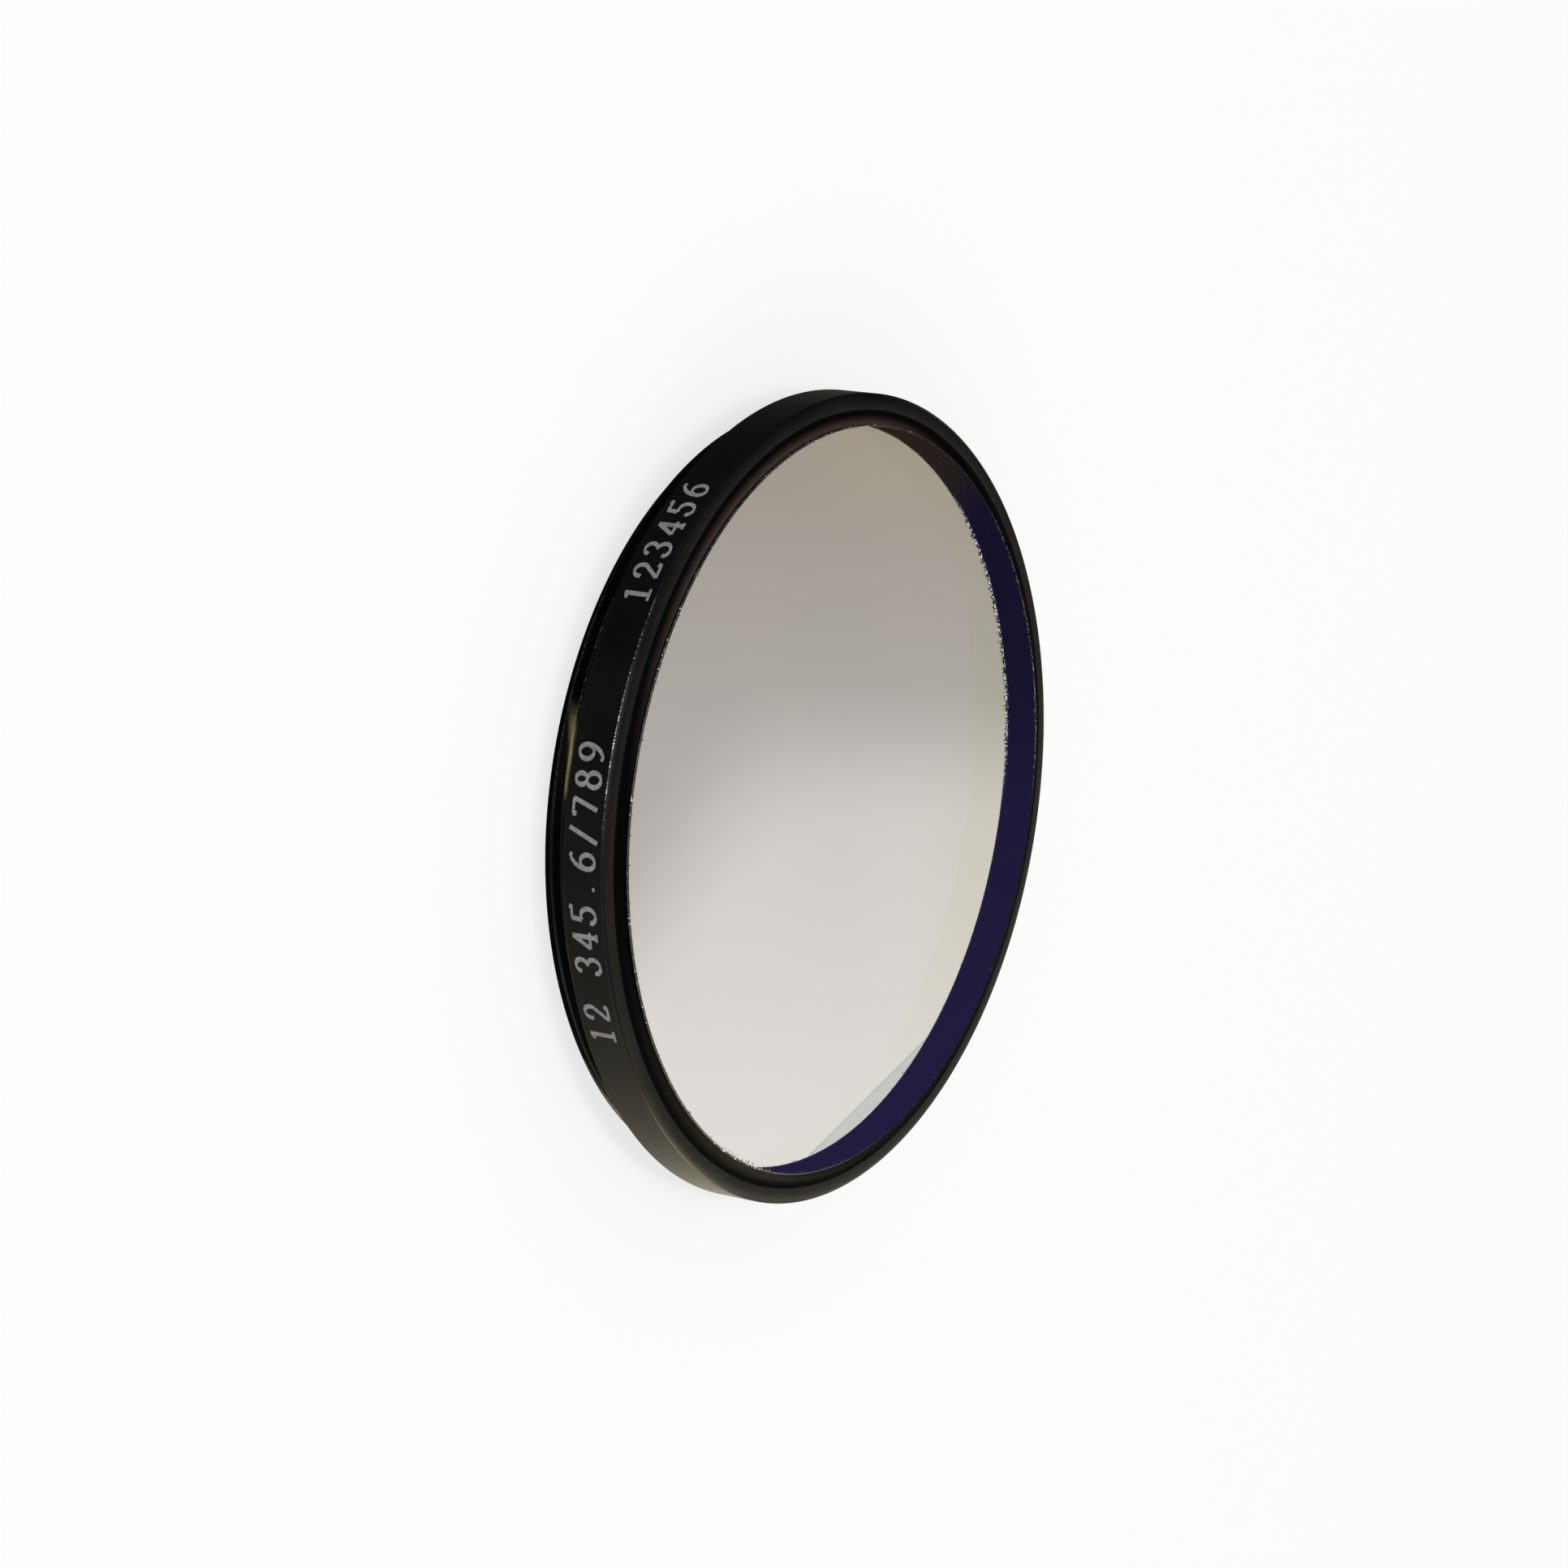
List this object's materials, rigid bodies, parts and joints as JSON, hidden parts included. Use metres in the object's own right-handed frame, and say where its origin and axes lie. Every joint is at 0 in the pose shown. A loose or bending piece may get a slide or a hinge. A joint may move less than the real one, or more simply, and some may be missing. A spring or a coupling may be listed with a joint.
{
  "type": "optical bandpass filter",
  "caption": "Round mounted optical bandpass filter: a mirror-like coated glass plate cemented into a thin black ring with a male fine thread behind its grip flange.",
  "frame": {"origin": "centre of the male thread's end face, where the optical axis leaves the ring", "axes": "+Z along the optical axis, out of the proud face of the glass; X and Y lie in the plane of the thread's end face"},
  "size_m": [0.0508, 0.0508, 0.0058],
  "materials": {
    "anodised_cell": "black anodised, satin, fine turning marks",
    "coated_glass": "polished glass with a mirror-like interference coating on its rear face and ground bevels",
    "black_cement": "cured black cement, glossy"
  },
  "bodies": {
    "root": {"cell": "anodised_cell", "filter_glass": "coated_glass", "edge_seal": "black_cement"}
  },
  "joints": []
}
